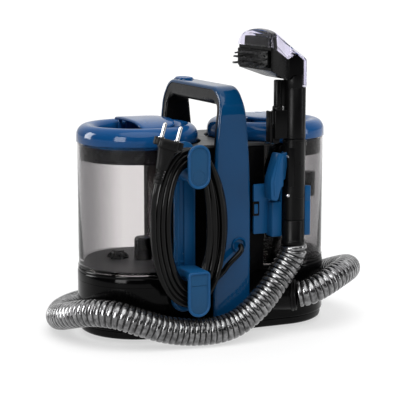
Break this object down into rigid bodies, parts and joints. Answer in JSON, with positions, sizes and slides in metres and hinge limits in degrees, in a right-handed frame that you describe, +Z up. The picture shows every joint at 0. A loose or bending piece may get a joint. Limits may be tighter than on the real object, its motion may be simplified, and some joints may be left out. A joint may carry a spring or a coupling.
{
  "type": "carpet cleaner machine",
  "caption": "Portable spot carpet cleaner: black base, two lift-out clear tanks with blue lids, arch handle, cord hooks with wound cord, ribbed hose and a spray tool in its clip.",
  "frame": {"origin": "on the floor, at the centre foot, midway between the axes of the two tanks", "axes": "+X from the clean-water tank to the dirty-water tank, -Y to the front with the cord hooks and the hose, +Z up"},
  "size_m": [0.4247, 0.2848, 0.3865],
  "materials": {
    "black_gloss": "gloss",
    "foot_rubber": "matt",
    "screw_steel": "bright",
    "blue_shell": "gloss",
    "black_satin": "satin",
    "inner_plastic": "matt",
    "motor_steel": "satin",
    "hose_vinyl": "gloss",
    "cord_rubber": "satin",
    "pin_metal": "bright",
    "clear_tank": "clear, smoky",
    "bristle_nylon": "matt"
  },
  "bodies": {
    "root": {"base_plate": "black_gloss", "rubber_feet": "foot_rubber", "base_screws": "screw_steel", "base_tray": "black_gloss", "base_cover": "black_gloss", "body_front": "black_gloss", "body_back": "black_gloss", "deck": "black_gloss", "arch_cover": "blue_shell", "handle_lining": "black_satin", "power_switch": "inner_plastic", "cord_bracket": "blue_shell", "hook_pin": "screw_steel", "bracket_screws": "screw_steel", "tool_holder": "blue_shell", "hose_port": "black_satin", "hose": "hose_vinyl", "cord_grommet": "blue_shell", "cord_lead": "cord_rubber", "cord_coil": "cord_rubber", "cord_tail": "cord_rubber", "plug_relief": "black_satin", "plug_body": "black_satin", "plug_pins": "pin_metal", "suction_motor": "motor_steel", "fan_housing": "inner_plastic", "pump": "inner_plastic", "suction_duct": "inner_plastic"},
    "clean_tank_unit": {"clean_tank": "clear_tank", "clean_band": "black_satin", "clean_strainer": "black_satin", "clean_valve": "black_satin"},
    "clean_valve_poppet": {"clean_poppet": "screw_steel"},
    "clean_lid_unit": {"clean_lid": "blue_shell", "clean_lid_bridge": "blue_shell", "clean_lid_seal": "foot_rubber"},
    "dirty_tank_unit": {"dirty_tank": "clear_tank", "dirty_band": "black_satin", "dirty_tower": "black_satin", "float_cage": "black_satin"},
    "dirty_float": {"float_ball": "inner_plastic"},
    "dirty_lid_unit": {"dirty_lid": "blue_shell", "dirty_lid_bridge": "blue_shell", "dirty_lid_seal": "foot_rubber"},
    "button": {"power_button": "blue_shell"},
    "swivel_hook": {"upper_hook": "blue_shell"},
    "fan_rotor": {"impeller": "inner_plastic"},
    "spray_tool": {"tool_handle": "black_satin", "trigger_pin": "screw_steel", "trigger_spring": "screw_steel", "tool_screw": "screw_steel", "hose_cuff": "black_satin"},
    "tool_trigger": {"trigger": "blue_shell"},
    "nozzle": {"wand_tube": "black_satin", "spray_line": "black_satin", "nozzle_body": "black_satin", "nozzle_window": "clear_tank", "brush_plate": "black_satin", "bristles": "bristle_nylon"},
    "latch_button": {"nozzle_latch": "black_satin"}
  },
  "joints": [
    {"name": "clean_tank_lift", "type": "slide", "parent": "root", "child": "clean_tank_unit", "axis": [-0.2588, 0, 0.9659], "range_m": [0, 0.16]},
    {"name": "clean_valve_travel", "type": "slide", "parent": "clean_tank_unit", "child": "clean_valve_poppet", "axis": [0, 0, 1], "range_m": [-0.003, 0]},
    {"name": "clean_lid_lift", "type": "slide", "parent": "clean_tank_unit", "child": "clean_lid_unit", "axis": [0, 0, 1], "range_m": [0, 0.02]},
    {"name": "dirty_tank_lift", "type": "slide", "parent": "root", "child": "dirty_tank_unit", "axis": [0.2588, 0, 0.9659], "range_m": [0, 0.16]},
    {"name": "float_rise", "type": "slide", "parent": "dirty_tank_unit", "child": "dirty_float", "axis": [0, 0, 1], "range_m": [0, 0.008]},
    {"name": "dirty_lid_lift", "type": "slide", "parent": "dirty_tank_unit", "child": "dirty_lid_unit", "axis": [0, 0, 1], "range_m": [0, 0.02]},
    {"name": "power_press", "type": "slide", "parent": "root", "child": "button", "axis": [0, 0, -1], "range_m": [0, 0.003], "stiffness_N_per_m": 800},
    {"name": "hook_swivel", "type": "hinge", "parent": "root", "child": "swivel_hook", "pos_m": [-0.061, -0.1, 0.213], "axis": [0, 1, 0], "range_deg": [0, 180]},
    {"name": "fan_spin", "type": "hinge", "parent": "root", "child": "fan_rotor", "pos_m": [0.082, 0.01, 0.055], "axis": [0, 0, 1], "continuous": true},
    {"name": "tool_unclip", "type": "slide", "parent": "root", "child": "spray_tool", "axis": [0, -1, 0], "range_m": [0, 0.045]},
    {"name": "trigger_pull", "type": "hinge", "parent": "spray_tool", "child": "tool_trigger", "pos_m": [0.066, -0.104, 0.229], "axis": [0, -1, 0], "range_deg": [0, 5], "stiffness_Nm_per_rad": 6},
    {"name": "nozzle_pull", "type": "slide", "parent": "spray_tool", "child": "nozzle", "axis": [0, 0, 1], "range_m": [0, 0.05]},
    {"name": "latch_press", "type": "slide", "parent": "nozzle", "child": "latch_button", "axis": [1, 0, 0], "range_m": [0, 0.003], "stiffness_N_per_m": 600}
  ]
}
